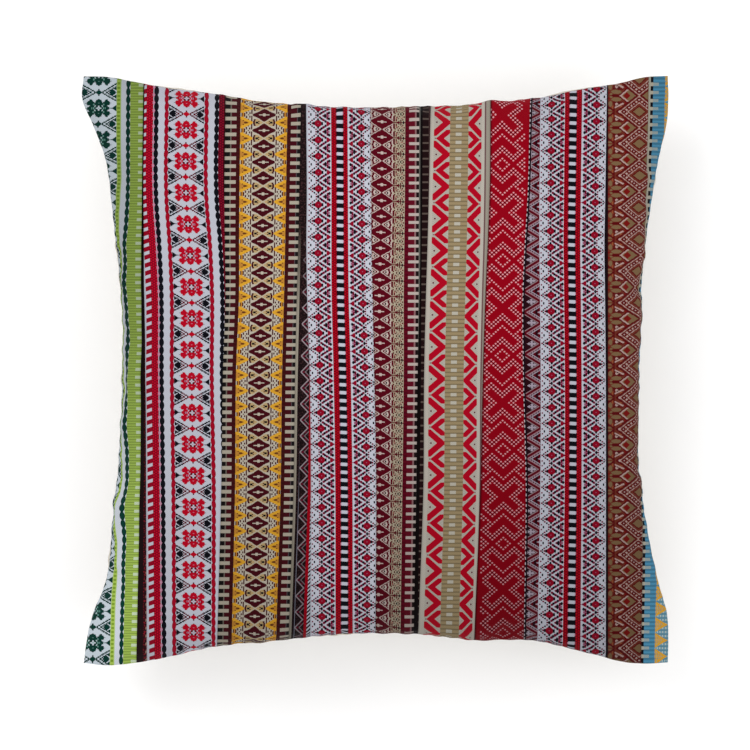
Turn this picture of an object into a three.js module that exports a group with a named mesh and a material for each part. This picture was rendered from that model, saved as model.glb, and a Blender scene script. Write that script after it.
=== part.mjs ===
// A filled square cushion cover, lying on its back with its patterned face up.
// Units are millimetres, +Z is up, +X runs across the sashes and +Y along them.
// The origin is the middle of the flat patch that the cushion rests on.
//
// The cover is two square panels of cloth, sewn together all round and turned
// right side out, so the rim is one plain knife-edge seam. Filled, the panels
// swell into a crown on each side, and the seam pulls in between the corners,
// which stay out as flat ears. The back is pressed flat where it lies.

import * as THREE from "three";

// ---- driving dimensions ------------------------------------------------
const CUT_SIDE = 450;          // each panel, seam to seam, before it is filled
const EAR_SPAN_X = 442.5;       // corner to corner, across the sashes
const EAR_SPAN_Y = 447;        // corner to corner, along the sashes
const FACE_CROWN = 82;         // middle of the patterned face above the seam
const BACK_CROWN = 80;         // the back's own swell, before it is pressed flat
const REST_DEPTH = 68;         // seam above the surface that the cushion lies on
const SEAM_HALF = 0.8;         // half the thickness of the sewn rim
const EAR_ROUND = 5;           // how far each corner's tip is rounded off
const FLANK_POWER = 2.15;      // 2 is an ellipse, more is a boxier flank
const FLANK_SOFT = 0.62;       // 0.5 meets the seam upright, more slopes to it
const EAR_PINCH = 0.2;         // how much flatter the cloth lies in the corners
const CELLS = 40;              // facets along each side of a panel

// How far each side of the seam is drawn in from the line between its corners.
// along: 0 to 1, upwards on the left and right sides, rightwards on the others.
const DRAWN_IN = [
  { along: 0.00, left:  1.5, right:  0.8, top:  1.5, bottom:  2.2 },
  { along: 0.04, left:  4.4, right:  0.8, top:  2.2, bottom:  0.9 },
  { along: 0.08, left:  8.6, right:  1.9, top:  5.6, bottom:  2.6 },
  { along: 0.14, left: 19.0, right:  9.0, top: 10.3, bottom:  7.2 },
  { along: 0.22, left: 23.6, right: 16.9, top: 15.0, bottom: 15.6 },
  { along: 0.32, left: 27.8, right: 23.4, top: 22.1, bottom: 19.9 },
  { along: 0.42, left: 31.1, right: 24.0, top: 25.5, bottom: 24.4 },
  { along: 0.50, left: 31.5, right: 23.6, top: 25.9, bottom: 25.9 },
  { along: 0.58, left: 31.9, right: 22.5, top: 24.8, bottom: 24.8 },
  { along: 0.68, left: 28.5, right: 20.3, top: 23.3, bottom: 20.6 },
  { along: 0.78, left: 23.6, right: 14.6, top: 18.0, bottom: 19.2 },
  { along: 0.86, left: 18.4, right:  8.5, top: 11.0, bottom: 10.9 },
  { along: 0.92, left:  8.6, right:  2.4, top:  6.8, bottom:  4.0 },
  { along: 0.96, left:  0.8, right:  0.8, top:  2.2, bottom:  2.2 },
  { along: 1.00, left:  1.5, right:  0.8, top:  0.8, bottom:  2.6 },
];

// ---- the seam's outline ------------------------------------------------
// Smooth curve through the table's rows, by cubic steps between them.
function drawnIn(side, along) {
  const rows = DRAWN_IN;
  let i = 0;
  while (i < rows.length - 2 && along > rows[i + 1].along) i++;
  const slope = (k) => {
    const a = rows[Math.max(k - 1, 0)];
    const b = rows[Math.min(k + 1, rows.length - 1)];
    return (b[side] - a[side]) / (b.along - a.along);
  };
  const p = rows[i], q = rows[i + 1];
  const h = q.along - p.along;
  const t = (along - p.along) / h;
  const t2 = t * t, t3 = t2 * t;
  return (2 * t3 - 3 * t2 + 1) * p[side] + (t3 - 2 * t2 + t) * h * slope(i)
    + (3 * t2 - 2 * t3) * q[side] + (t3 - t2) * h * slope(i + 1);
}

const HX = EAR_SPAN_X / 2;
const HY = EAR_SPAN_Y / 2;
const lerp = (a, b, t) => a + (b - a) * t;

// The four corners, where two sides' tables meet.
const corner = {
  bl: [-HX + drawnIn("left", 0), -HY + drawnIn("bottom", 0)],
  br: [HX - drawnIn("right", 0), -HY + drawnIn("bottom", 1)],
  tl: [-HX + drawnIn("left", 1), HY - drawnIn("top", 0)],
  tr: [HX - drawnIn("right", 1), HY - drawnIn("top", 1)],
};
const leftSide = (s) => [-HX + drawnIn("left", s), lerp(corner.bl[1], corner.tl[1], s)];
const rightSide = (s) => [HX - drawnIn("right", s), lerp(corner.br[1], corner.tr[1], s)];
const bottomSide = (s) => [lerp(corner.bl[0], corner.br[0], s), -HY + drawnIn("bottom", s)];
const topSide = (s) => [lerp(corner.tl[0], corner.tr[0], s), HY - drawnIn("top", s)];

// A point of the panel seen from above: the four sides blended across it.
function plan(s, t) {
  const l = leftSide(t), r = rightSide(t), b = bottomSide(s), p = topSide(s);
  const at = [0, 1].map((k) => lerp(l[k], r[k], s) + lerp(b[k], p[k], t)
    - (1 - s) * (1 - t) * corner.bl[k] - s * (1 - t) * corner.br[k]
    - (1 - s) * t * corner.tl[k] - s * t * corner.tr[k]);
  // round the tip of the ear
  const du = Math.abs(2 * s - 1), dv = Math.abs(2 * t - 1);
  const tip = Math.pow(Math.min(du, dv), 24);
  at[0] -= Math.sign(2 * s - 1) * tip * EAR_ROUND * 0.3;
  at[1] -= Math.sign(2 * t - 1) * tip * EAR_ROUND * 0.3;
  return at;
}

// ---- the crown ---------------------------------------------------------
// Height of the swell, 0 on the seam and 1 in the middle of the panel.
function swell(s, t) {
  const u = Math.abs(2 * s - 1), v = Math.abs(2 * t - 1);
  const flank = (w) => Math.pow(Math.max(0, 1 - Math.pow(w, FLANK_POWER)), FLANK_SOFT);
  return flank(u) * flank(v) * (1 - EAR_PINCH * Math.pow(u * v, 2));
}

// ---- the solid ---------------------------------------------------------
// Both panels share the rim's points. The rows are closer near the seam.
function cushionGeometry() {
  const n = CELLS;
  const even = (i) => 0.5 - 0.5 * Math.cos((Math.PI * i) / n);
  const step = (i) => lerp(i / n, even(i), 0.75);
  const points = [];
  const face = [], back = [];
  for (let j = 0; j <= n; j++) {
    face.push([]); back.push([]);
    for (let i = 0; i <= n; i++) {
      const s = step(i), t = step(j);
      const [x, y] = plan(s, t);
      const rim = i === 0 || j === 0 || i === n || j === n;
      const h = rim ? 0 : swell(s, t);
      face[j].push(points.length / 3);
      points.push(x, y, REST_DEPTH + (rim ? 0 : SEAM_HALF) + FACE_CROWN * h);
      if (rim) {
        back[j].push(face[j][i]);
      } else {
        back[j].push(points.length / 3);
        points.push(x, y, Math.max(0, REST_DEPTH - SEAM_HALF - BACK_CROWN * h));
      }
    }
  }
  const triangles = [];
  const quad = (a, b, c, d, flip) => {
    // a b c d run anticlockwise seen from above; the diagonal leans outwards
    if (flip) triangles.push(a, b, c, a, c, d);
    else triangles.push(a, b, d, b, c, d);
  };
  for (let j = 0; j < n; j++) {
    for (let i = 0; i < n; i++) {
      const outward = (i < n / 2) === (j < n / 2);
      quad(face[j][i], face[j][i + 1], face[j + 1][i + 1], face[j + 1][i], !outward);
      quad(back[j][i], back[j + 1][i], back[j + 1][i + 1], back[j][i + 1], !outward);
    }
  }
  const geometry = new THREE.BufferGeometry();
  geometry.setAttribute("position", new THREE.Float32BufferAttribute(points, 3));
  geometry.setIndex(triangles);
  // The middle of the whole plan is the origin.
  geometry.computeBoundingBox();
  const box = geometry.boundingBox;
  geometry.translate(-(box.min.x + box.max.x) / 2, -(box.min.y + box.max.y) / 2, -box.min.z);
  geometry.computeVertexNormals();
  return geometry;
}

const clothMaterial = new THREE.MeshStandardMaterial({
  color: new THREE.Color(0.55, 0.2, 0.2),
  roughness: 0.9,
  metalness: 0,
});

const cushion = new THREE.Mesh(cushionGeometry(), clothMaterial);
cushion.name = "cushion";

const part = new THREE.Group();
part.name = "cushion_cover";
part.add(cushion);
// The cut size is kept with the model for whoever sews a like cover.
part.userData.cutSideMm = CUT_SIDE;

export default part;
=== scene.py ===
# A filled square cushion cover on its back, its face striped with woven sashes.
import math

import bmesh
import bpy
import mathutils
import numpy as np
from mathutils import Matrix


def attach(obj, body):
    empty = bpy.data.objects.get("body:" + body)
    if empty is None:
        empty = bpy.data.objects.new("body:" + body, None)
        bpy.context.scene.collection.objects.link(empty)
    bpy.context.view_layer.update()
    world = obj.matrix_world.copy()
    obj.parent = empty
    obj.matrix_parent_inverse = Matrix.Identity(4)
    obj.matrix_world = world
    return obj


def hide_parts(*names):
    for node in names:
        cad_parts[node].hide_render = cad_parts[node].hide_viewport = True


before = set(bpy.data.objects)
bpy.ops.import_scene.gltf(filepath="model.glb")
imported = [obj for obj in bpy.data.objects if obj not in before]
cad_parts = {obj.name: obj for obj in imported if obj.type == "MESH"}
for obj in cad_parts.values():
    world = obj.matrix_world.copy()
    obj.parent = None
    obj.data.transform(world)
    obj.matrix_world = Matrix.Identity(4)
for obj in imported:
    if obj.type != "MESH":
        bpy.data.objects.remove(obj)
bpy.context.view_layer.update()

# ======================================================================
# Sizes, in metres
# ======================================================================
CUT_SIDE = 0.450        # each panel, seam to seam, as it was cut
SPAN_X, SPAN_Y = 0.441, 0.444   # corner to corner, filled
FACE_CROWN = 0.082      # middle of the face above the seam
BACK_CROWN = 0.084      # the back's own swell, before the floor presses it
REST_DEPTH = 0.068      # seam above the floor
PX = 0.00075            # one photo pixel on the object
PHOTO_MID = (375.3, 370.3)      # the object's middle in the photo, in pixels
DIST = 4.0              # camera above the seam: the photo's lens is long
CAMERA_XY = ((375 - PHOTO_MID[0]) * PX, (PHOTO_MID[1] - 375) * PX)

# How far the seam is drawn in from the line between its corners, in mm.
# along: 0 to 1, upwards on the left and right, rightwards on top and bottom.
#   along  left  right   top  bottom
DRAWN_IN = np.array([
    [0.00,  1.5,  0.8,  1.2,  2.2],
    [0.04,  4.4,  0.8,  2.0,  0.9],
    [0.08,  8.6,  1.9,  5.4,  2.6],
    [0.14, 19.0,  9.0, 10.3,  7.2],
    [0.22, 23.6, 16.9, 15.0, 15.6],
    [0.32, 27.8, 23.6, 22.1, 19.9],
    [0.42, 31.1, 24.0, 25.5, 24.4],
    [0.50, 31.5, 23.6, 25.9, 25.9],
    [0.58, 31.9, 22.5, 24.8, 24.8],
    [0.68, 28.5, 20.3, 23.3, 20.4],
    [0.78, 23.6, 14.6, 18.0, 19.6],
    [0.86, 18.4,  8.5, 11.0, 10.9],
    [0.92,  8.6,  2.4,  6.8,  4.0],
    [0.96,  0.8,  0.8,  2.2,  2.2],
    [1.00,  1.5,  0.8,  0.8,  2.6],
])
LEFT, RIGHT, TOP, BOTTOM = 1, 2, 3, 4


def drawn_in(side, along):
    """The table's smooth curve for one side, in metres."""
    x, y = DRAWN_IN[:, 0], DRAWN_IN[:, side] / 1000
    slope = np.gradient(y, x)
    i = np.clip(np.searchsorted(x, along, side="right") - 1, 0, len(x) - 2)
    h = x[i + 1] - x[i]
    t = (along - x[i]) / h
    return ((2 * t**3 - 3 * t**2 + 1) * y[i] + (t**3 - 2 * t**2 + t) * h * slope[i]
            + (3 * t**2 - 2 * t**3) * y[i + 1] + (t**3 - t**2) * h * slope[i + 1])


# ======================================================================
# The filled shape: two panels sewn at the rim and blown up
# ======================================================================
def panels_indices(n):
    """Vertex numbers of the face and back grids, which share the rim."""
    face = np.arange(n * n).reshape(n, n)
    rim = np.zeros((n, n), bool)
    rim[0] = rim[-1] = rim[:, 0] = rim[:, -1] = True
    back = face.copy()
    back[~rim] = n * n + np.arange((~rim).sum())
    return face, back, rim


def quads(face, back):
    top = np.stack([face[:-1, :-1], face[:-1, 1:], face[1:, 1:], face[1:, :-1]], -1)
    low = np.stack([back[:-1, :-1], back[1:, :-1], back[1:, 1:], back[:-1, 1:]], -1)
    return top.reshape(-1, 4), low.reshape(-1, 4)


def blown_up(cells=84, frames=13, pressure=5.0):
    """Cloth simulation of the two flat panels, as face and back grids."""
    n = cells + 1
    face, back, rim = panels_indices(n)
    s = np.linspace(-CUT_SIDE / 2, CUT_SIDE / 2, n)
    x, y = np.meshgrid(s, s)
    u, v = 2 * x / CUT_SIDE, 2 * y / CUT_SIDE
    # the cloth is never quite even, which sets where its wrinkles fall
    rough = (0.0006 * np.sin(23 * u + 1.3) * np.cos(19 * v - 0.7)
             + 0.0005 * np.sin(41 * v + 9 * u + 2.1) + 0.0004 * np.cos(37 * u - 13 * v))
    z = 0.012 * (1 - u**2) * (1 - v**2) + 0.0015 + rough * (1 - u**8) * (1 - v**8)
    places = np.zeros((int(back.max()) + 1, 3))
    places[back[~rim]] = np.stack([x, y, -z + 2 * rough], -1)[~rim]
    places[face.ravel()] = np.stack([x, y, np.where(rim, 0, z)], -1).reshape(-1, 3)
    top, low = quads(face, back)
    mesh = bpy.data.meshes.new("panels")
    mesh.from_pydata(places.tolist(), [], np.concatenate([top, low]).tolist())
    ob = bpy.data.objects.new("panels", mesh)
    bpy.context.scene.collection.objects.link(ob)
    mod = ob.modifiers.new("cloth", "CLOTH")
    c = mod.settings
    c.quality = 6
    c.mass = 0.002
    c.tension_stiffness, c.compression_stiffness, c.shear_stiffness = 40, 20, 12
    c.bending_stiffness = 0.05
    c.tension_damping = c.compression_damping = c.shear_damping = 5
    c.bending_damping = 0.5
    c.air_damping = 3
    c.use_pressure = True
    c.uniform_pressure_force = pressure
    c.effector_weights.gravity = 0
    mod.collision_settings.use_collision = False
    mod.point_cache.frame_start, mod.point_cache.frame_end = 1, frames + 1
    scene = bpy.context.scene
    for f in range(1, frames + 1):
        scene.frame_set(f)
    done = ob.evaluated_get(bpy.context.evaluated_depsgraph_get())
    co = np.empty(len(mesh.vertices) * 3, np.float32)
    done.data.vertices.foreach_get("co", co)
    co = co.reshape(-1, 3).astype(float)
    bpy.data.objects.remove(ob)
    bpy.data.meshes.remove(mesh)
    scene.frame_set(1)
    return co[face], co[back]


def resampled(grid, at):
    """A square grid read at other places along both sides, by smooth cubics."""
    n = grid.shape[0]
    padded = np.concatenate([2 * grid[:1] - grid[1:2], grid, 2 * grid[-1:] - grid[-2:-1]])
    padded = np.concatenate([2 * padded[:, :1] - padded[:, 1:2], padded,
                             2 * padded[:, -1:] - padded[:, -2:-1]], axis=1)
    i = np.clip(np.floor(at).astype(int), 0, n - 2)
    t = at - i
    weights = np.zeros((len(at), n + 2))
    rows = np.arange(len(at))
    weights[rows, i] = -0.5 * t + t**2 - 0.5 * t**3
    weights[rows, i + 1] = 1 - 2.5 * t**2 + 1.5 * t**3
    weights[rows, i + 2] = 0.5 * t + 2 * t**2 - 1.5 * t**3
    weights[rows, i + 3] = -0.5 * t**2 + 0.5 * t**3
    return np.einsum("aj,jkc,bk->abc", weights, padded, weights)


def eased(grid, times, keep):
    """Grid heights smoothed a little, more where keep is small."""
    for _ in range(times):
        mean = grid.copy()
        mean[1:-1, 1:-1] = (grid[:-2, 1:-1] + grid[2:, 1:-1] + grid[1:-1, :-2] + grid[1:-1, 2:]) / 4
        grid = grid + (mean - grid) * (1 - keep)[..., None]
    return grid


def fitted(face, back, s):
    """Both panels moved so that their seam runs along the photo's outline."""
    hx, hy = SPAN_X / 2, SPAN_Y / 2
    left, right, top, bottom = (drawn_in(k, s) for k in (LEFT, RIGHT, TOP, BOTTOM))
    x0, x1, x2, x3 = -hx + left[0], hx - right[0], -hx + left[-1], hx - right[-1]
    y0, y1, y2, y3 = -hy + bottom[0], -hy + bottom[-1], hy - top[0], hy - top[-1]
    want = np.zeros(face.shape[:2] + (2,))
    want[:, 0] = np.stack([-hx + left, y0 + (y2 - y0) * s], -1)
    want[:, -1] = np.stack([hx - right, y1 + (y3 - y1) * s], -1)
    want[0] = np.stack([x0 + (x1 - x0) * s, -hy + bottom], -1)
    want[-1] = np.stack([x2 + (x3 - x2) * s, hy - top], -1)
    gap = want - face[..., :2]
    u, v = s[None, :, None], s[:, None, None]
    move = ((1 - u) * gap[:, :1] + u * gap[:, -1:] + (1 - v) * gap[:1] + v * gap[-1:]
            - (1 - u) * (1 - v) * gap[0, 0] - u * (1 - v) * gap[0, -1]
            - (1 - u) * v * gap[-1, 0] - u * v * gap[-1, -1])
    for panel in (face, back):
        panel[..., :2] += move
    return face, back


def soft_least(a, b, k):
    """The lesser of two numbers, rounded where they cross."""
    h = np.clip(0.5 + 0.5 * (b - a) / k, 0, 1)
    return b + (a - b) * h - k * h * (1 - h)


def normals_of(grid, up):
    du = np.gradient(grid, axis=1)
    dv = np.gradient(grid, axis=0)
    n = np.cross(du, dv)
    n /= np.linalg.norm(n, axis=-1, keepdims=True) + 1e-12
    return n * up


# How the finished grid is spaced: close along the seam, even in the middle.
FINE_NEAR = [0.0, 0.6, 1.3, 2.1, 3.0, 4.1, 5.4, 6.9, 8.6, 10.5]   # mm from the seam


def grid_places(middle_cells=150):
    near = np.array(FINE_NEAR) / 1000 / CUT_SIDE
    return np.concatenate([near[:-1], np.linspace(near[-1], 1 - near[-1], middle_cells + 1),
                           1 - near[-2::-1]])


def cushion_shape():
    face, back = blown_up()
    n = face.shape[0]
    coarse = np.linspace(0, 1, n)
    # the simulation's heights, brought to the cushion's own
    face[..., 2] *= FACE_CROWN / face[n // 2 - 4:n // 2 + 5, n // 2 - 4:n // 2 + 5, 2].mean()
    back[..., 2] *= BACK_CROWN / -back[n // 2 - 4:n // 2 + 5, n // 2 - 4:n // 2 + 5, 2].mean()
    # the crown is eased towards an even swell, which keeps the cloth's wrinkles
    flank = (1 - np.abs(2 * coarse - 1) ** 2.15) ** 0.62
    swell = np.outer(flank, flank)
    for panel, crown in ((face, FACE_CROWN), (back, -BACK_CROWN)):
        broad = eased(panel, 40, np.zeros((n, n)))[..., 2]
        panel[..., 2] += 0.55 * (crown * swell - broad)
    face, back = fitted(face, back, coarse)
    edge = np.minimum.outer(np.minimum(coarse, 1 - coarse), np.minimum(coarse, 1 - coarse))
    keep = np.clip(1 - edge * 6, 0.2, 0.75)
    keep[0] = keep[-1] = keep[:, 0] = keep[:, -1] = 1
    face, back = eased(face, 6, keep), eased(back, 6, keep)
    s = grid_places()
    face, back = resampled(face, s * (n - 1)), resampled(back, s * (n - 1))
    plain = face.copy()                     # for the pattern's places

    dist = np.minimum(s, 1 - s) * CUT_SIDE
    du, dv = np.meshgrid(dist, dist)        # cloth distance from the nearest sides
    d = np.minimum(du, dv)
    nf, nb = normals_of(face, 1), normals_of(back, -1)
    # rounded lips on both sides of the stitched seam
    lip = 0.0012 * (d / 0.0022) * np.exp(1 - d / 0.0022)
    # small puckers where the stitches gather the cloth
    along_x, along_y = np.meshgrid(s, s)
    w = CUT_SIDE * np.where(du < dv, along_y, along_x)
    side = np.where(du < dv, np.where(along_x < 0.5, 0, 1), np.where(along_y < 0.5, 2, 3))
    shift = np.array([0.4, 2.3, 4.1, 5.6])[side]
    wave = (np.sin(w / 0.0021 * 1.0 + 1.7 * np.sin(w / 0.013 + shift) + shift)
            + 0.6 * np.sin(w / 0.0037 + 2.1 * np.sin(w / 0.021 - shift) + 2 * shift))
    middle = np.clip(np.sin(np.pi * np.clip(w / CUT_SIDE, 0, 1)), 0, 1) ** 0.7
    gather = 0.00042 * wave * middle * (d / 0.005) * np.exp(1 - d / 0.005)
    for panel, n_, sign in ((face, nf, 1.0), (back, nb, 0.9)):
        panel += n_ * (lip + gather * sign)[..., None]
    # the floor presses the back flat
    back[..., 2] = -soft_least(-back[..., 2], np.full(back.shape[:2], REST_DEPTH), 0.010)
    # the ears hang a little
    for panel in (face, back, plain):
        r = np.abs(panel[..., 0] / (SPAN_X / 2)) ** 6 * np.abs(panel[..., 1] / (SPAN_Y / 2)) ** 6
        panel[..., 2] -= 0.006 * np.clip(r, 0, 1)
    back[0], back[-1], back[:, 0], back[:, -1] = face[0], face[-1], face[:, 0], face[:, -1]
    for panel in (face, back, plain):
        panel[..., 2] += REST_DEPTH
    return s, face, back, plain


def evened(line, cells=10):
    """A line along a side without its small waves; the ears are kept."""
    k = np.arange(-3 * cells, 3 * cells + 1)
    weight = np.exp(-0.5 * (k / cells) ** 2)
    rest, smooth = line, 0.0
    for _ in range(2):
        padded = np.pad(rest, 3 * cells, mode="reflect", reflect_type="odd")
        smooth = smooth + np.convolve(padded, weight / weight.sum(), mode="valid")
        rest = line - smooth
    at = np.linspace(0, 1, len(line))
    return line - rest * np.clip(np.minimum(at, 1 - at) / 0.12 - 1, 0, 1)


def pattern_places(plain):
    """Where each point of the face reads the flat pattern, in metres.

    The pattern lies straight across the face, seen from above. On the steep
    flank it is drawn out no more than a limit, and by the seam it goes on at
    the cloth's own length, where it follows the cloth's wrinkles.
    """
    out = plain[..., :2].copy()
    for axis, limit in ((0, 3.1), (1, 2.4)):
        p = plain if axis == 0 else plain.transpose(1, 0, 2)
        q = p[..., axis].copy()
        m = p.shape[1] // 2
        for sign in (-1, 1):
            cols = range(m, p.shape[1]) if sign > 0 else range(m, -1, -1)
            last = None
            edge = p[:, -1 if sign > 0 else 0, axis]
            for i in cols:
                if last is not None:
                    step = np.linalg.norm(p[:, i] - p[:, last], axis=-1)
                    flat = (p[:, i, axis] - p[:, last, axis]) * sign
                    near = np.clip((0.0016 - np.abs(edge - p[:, i, axis])) / 0.0012, 0, 1)
                    q[:, i] = q[:, last] + sign * np.maximum(flat + (step - flat) * near, step / limit)
                last = i
        rim = np.minimum(np.abs(p[..., axis] - p[:, :1, axis]), np.abs(p[..., axis] - p[:, -1:, axis]))
        q += (np.stack([evened(line) for line in q.T], 1) - q) * np.exp(-(rim / 0.013) ** 2)
        out[..., axis] = q if axis == 0 else q.T
    return out


# ======================================================================
# Where the sashes lie, in photo pixels
# ======================================================================
LEVELS = (100.0, 200.0, 245.0, 290.0, 370.0, 490.0, 600.0)     # heights in the photo

# Each sash's own middle line, read across from the left, and how wide it is
# drawn, at those heights.
SASHES = [
    # name       middle line                                           width
    ("green",  ( 98.8,  97.8,  96.4,  96.0,  96.7,  95.6,  93.9), (1.00, 1.00, 1.00, 1.00, 1.00, 1.00, 0.97)),
    ("shade",  (143.0, 143.0, 143.0, 143.0, 143.0, 142.5, 142.0), (1.00, 1.00, 1.00, 1.00, 1.00, 1.00, 1.00)),
    ("stars",  (186.6, 186.3, 189.6, 191.6, 191.6, 193.4, 193.6), (1.00, 1.00, 1.01, 1.01, 1.00, 1.01, 0.99)),
    ("yellow", (264.5, 262.9, 262.4, 261.9, 259.4, 258.1, 255.2), (1.02, 1.01, 1.00, 0.98, 1.00, 0.99, 0.97)),
    ("tucked", (300.8, 299.0, 298.2, 297.2, 295.4, 293.6, 290.0), (1.00, 1.00, 1.00, 1.00, 1.00, 1.00, 1.00)),
    ("dashes", (339.6, 340.1, 340.2, 340.5, 342.5, 344.3, 344.5), (0.96, 0.96, 0.98, 0.99, 1.00, 1.00, 1.00)),
    ("claret", (382.1, 381.6, 380.6, 379.4, 380.5, 379.6, 378.4), (1.00, 1.00, 1.02, 1.05, 1.00, 0.98, 0.97)),
    ("hollow", (420.2, 419.7, 419.2, 418.8, 418.5, 417.0, 415.6), (1.00, 1.00, 1.00, 1.00, 1.00, 1.00, 1.00)),
    ("leaves", (459.2, 457.6, 456.8, 455.5, 453.8, 452.9, 449.8), (0.97, 1.00, 1.00, 1.00, 1.00, 1.00, 1.00)),
    ("dotted", (502.0, 502.6, 502.9, 502.7, 502.2, 503.4, 503.0), (1.00, 1.00, 1.00, 1.00, 1.00, 1.00, 1.00)),
    ("double", (573.3, 572.0, 571.6, 572.1, 572.9, 572.8, 571.7), (1.02, 1.01, 1.00, 1.00, 1.00, 1.01, 1.04)),
    ("russet", (628.6, 628.6, 628.6, 628.6, 628.6, 628.6, 628.6), (1.00, 1.00, 1.00, 1.00, 1.00, 1.00, 1.00)),
    ("blue",   (650.4, 648.4, 648.2, 647.6, 646.4, 644.2, 642.0), (1.00, 1.00, 1.00, 1.00, 1.00, 1.00, 1.00)),
]
MIDDLE = {name: middle for name, middle, _ in SASHES}
WIDTH = {name: width for name, _, width in SASHES}

# Where one sash ends and the next begins: the sash on top there, and how far
# from its middle line its edge shows, at those heights.
EDGES = [
    ("green",  ( 44.3,  44.0,  45.0,  45.0,  44.3,  44.2,  45.0)),
    ("stars",  (-42.4, -42.9, -45.2, -47.0, -46.1, -46.8, -47.5)),
    ("yellow", (-38.1, -38.1, -37.5, -37.2, -36.4, -37.3, -38.1)),
    ("yellow", ( 35.8,  35.8,  35.8,  35.8,  35.8,  35.8,  35.8)),
    ("dashes", (-34.9, -34.7, -34.5, -33.8, -32.9, -33.4, -34.1)),
    ("dashes", ( 32.1,  32.2,  31.9,  32.2,  31.6,  31.9,  31.1)),
    ("claret", ( 38.5,  38.6,  38.8,  38.3,  37.2,  37.4,  37.0)),
    ("leaves", (-29.2, -28.8, -29.2, -29.3, -29.5, -29.5, -30.3)),
    ("leaves", ( 32.2,  31.7,  30.7,  30.0,  29.0,  27.3,  25.9)),
    ("dotted", ( 28.1,  24.7,  21.7,  19.9,  20.7,  22.3,  21.3)),
    ("double", ( 34.0,  34.0,  34.0,  34.0,  34.0,  34.0,  34.0)),
    ("blue",   ( -2.0,  -1.8,  -1.6,  -1.4,  -0.9,  -0.3,   0.1)),
]


def smooth_curve(x, y, at):
    """A smooth curve through the points x, y (y may hold several rows)."""
    x, y, at = np.asarray(x, float), np.asarray(y, float), np.asarray(at, float)
    slope = np.gradient(y, x)
    i = np.clip(np.searchsorted(x, at, side="right") - 1, 0, len(x) - 2)
    h = x[i + 1] - x[i]
    t = np.clip((at - x[i]) / h, -0.5, 1.5)
    return ((2 * t**3 - 3 * t**2 + 1) * y[i] + (t**3 - 2 * t**2 + t) * h * slope[i]
            + (3 * t**2 - 2 * t**3) * y[i + 1] + (t**3 - t**2) * h * slope[i + 1])


def at_level(values, v):
    """A sash's values at the LEVELS, read at height v; straight on past them."""
    v = np.asarray(v, float)
    inside = np.clip(v, LEVELS[0], LEVELS[-1])
    ends = [(values[1] - values[0]) / (LEVELS[1] - LEVELS[0]), (values[-1] - values[-2]) / (LEVELS[-1] - LEVELS[-2])]
    return smooth_curve(LEVELS, values, inside) + np.where(v < inside, ends[0], ends[1]) * (v - inside)


def edge_at(k, v):
    """The right-hand edge of sash k, in photo pixels."""
    owner, reach = EDGES[k]
    return at_level(MIDDLE[owner], v) + at_level(WIDTH[owner], v) * at_level(reach, v)


# ======================================================================
# Numbers worked out by shader nodes
# ======================================================================
class Num:
    """A shader number with the usual arithmetic. Num.tree is the one in hand."""
    tree = None

    def __init__(self, socket):
        self.socket = socket

    def __add__(self, other): return node_math("ADD", self, other)
    def __radd__(self, other): return node_math("ADD", other, self)
    def __sub__(self, other): return node_math("SUBTRACT", self, other)
    def __rsub__(self, other): return node_math("SUBTRACT", other, self)
    def __mul__(self, other): return node_math("MULTIPLY", self, other)
    def __rmul__(self, other): return node_math("MULTIPLY", other, self)
    def __truediv__(self, other): return node_math("DIVIDE", self, other)
    def __neg__(self): return node_math("MULTIPLY", self, -1.0)


def plug(socket, value):
    if isinstance(value, Num):
        Num.tree.links.new(value.socket, socket)
    elif isinstance(value, bpy.types.NodeSocket):
        Num.tree.links.new(value, socket)
    elif isinstance(value, tuple):
        socket.default_value = (*value, 1.0)
    else:
        socket.default_value = value


def node_math(kind, a, b=None, c=None, clamp=False):
    node = Num.tree.nodes.new("ShaderNodeMath")
    node.operation = kind
    node.use_clamp = clamp
    for socket, value in zip(node.inputs, (a, b, c)):
        if value is not None:
            plug(socket, value)
    return Num(node.outputs[0])


def floor_of(a): return node_math("FLOOR", a)
def part_of(a): return node_math("FRACT", a)
def size_of(a): return node_math("ABSOLUTE", a)
def least(a, b): return node_math("MINIMUM", a, b)
def most(a, b): return node_math("MAXIMUM", a, b)
def over(a, b): return node_math("GREATER_THAN", a, b)
def under(a, b): return node_math("LESS_THAN", a, b)
def wave(a): return node_math("SINE", a * (2 * math.pi))
def held(a): return node_math("ADD", a, 0.0, clamp=True)
def folded(a, half): return node_math("PINGPONG", a, half)


def soft(a, low, high):
    """0 below low, 1 above high and a smooth step between."""
    node = Num.tree.nodes.new("ShaderNodeMapRange")
    node.interpolation_type = "SMOOTHSTEP"
    for name, value in (("Value", a), ("From Min", low), ("From Max", high)):
        plug(node.inputs[name], value)
    return Num(node.outputs[0])


def mixed(a, b, amount):
    """Colour a, or b where amount is 1."""
    node = Num.tree.nodes.new("ShaderNodeMix")
    node.data_type = "RGBA"
    plug(node.inputs[0], amount)
    plug(node.inputs[6], a)
    plug(node.inputs[7], b)
    return node.outputs[2]


def tinted(colour, amount):
    """A colour made darker or lighter by a number."""
    node = Num.tree.nodes.new("ShaderNodeVectorMath")
    node.operation = "SCALE"
    plug(node.inputs[0], colour) if not isinstance(colour, tuple) else setattr(
        node.inputs[0], "default_value", colour)
    plug(node.inputs["Scale"], amount)
    return node.outputs[0]


def stepped(fac, stops):
    """Colours picked by a number: (from, colour) pairs, without blending."""
    node = Num.tree.nodes.new("ShaderNodeValToRGB")
    ramp = node.color_ramp
    ramp.interpolation = "CONSTANT"
    while len(ramp.elements) > 1:
        ramp.elements.remove(ramp.elements[-1])
    ramp.elements[0].position = 0.0
    for i, (place, colour) in enumerate(stops):
        element = ramp.elements[0] if i == 0 else ramp.elements.new(place)
        element.color = (*colour, 1.0)
    plug(node.inputs[0], fac)
    return node.outputs[0]


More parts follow.
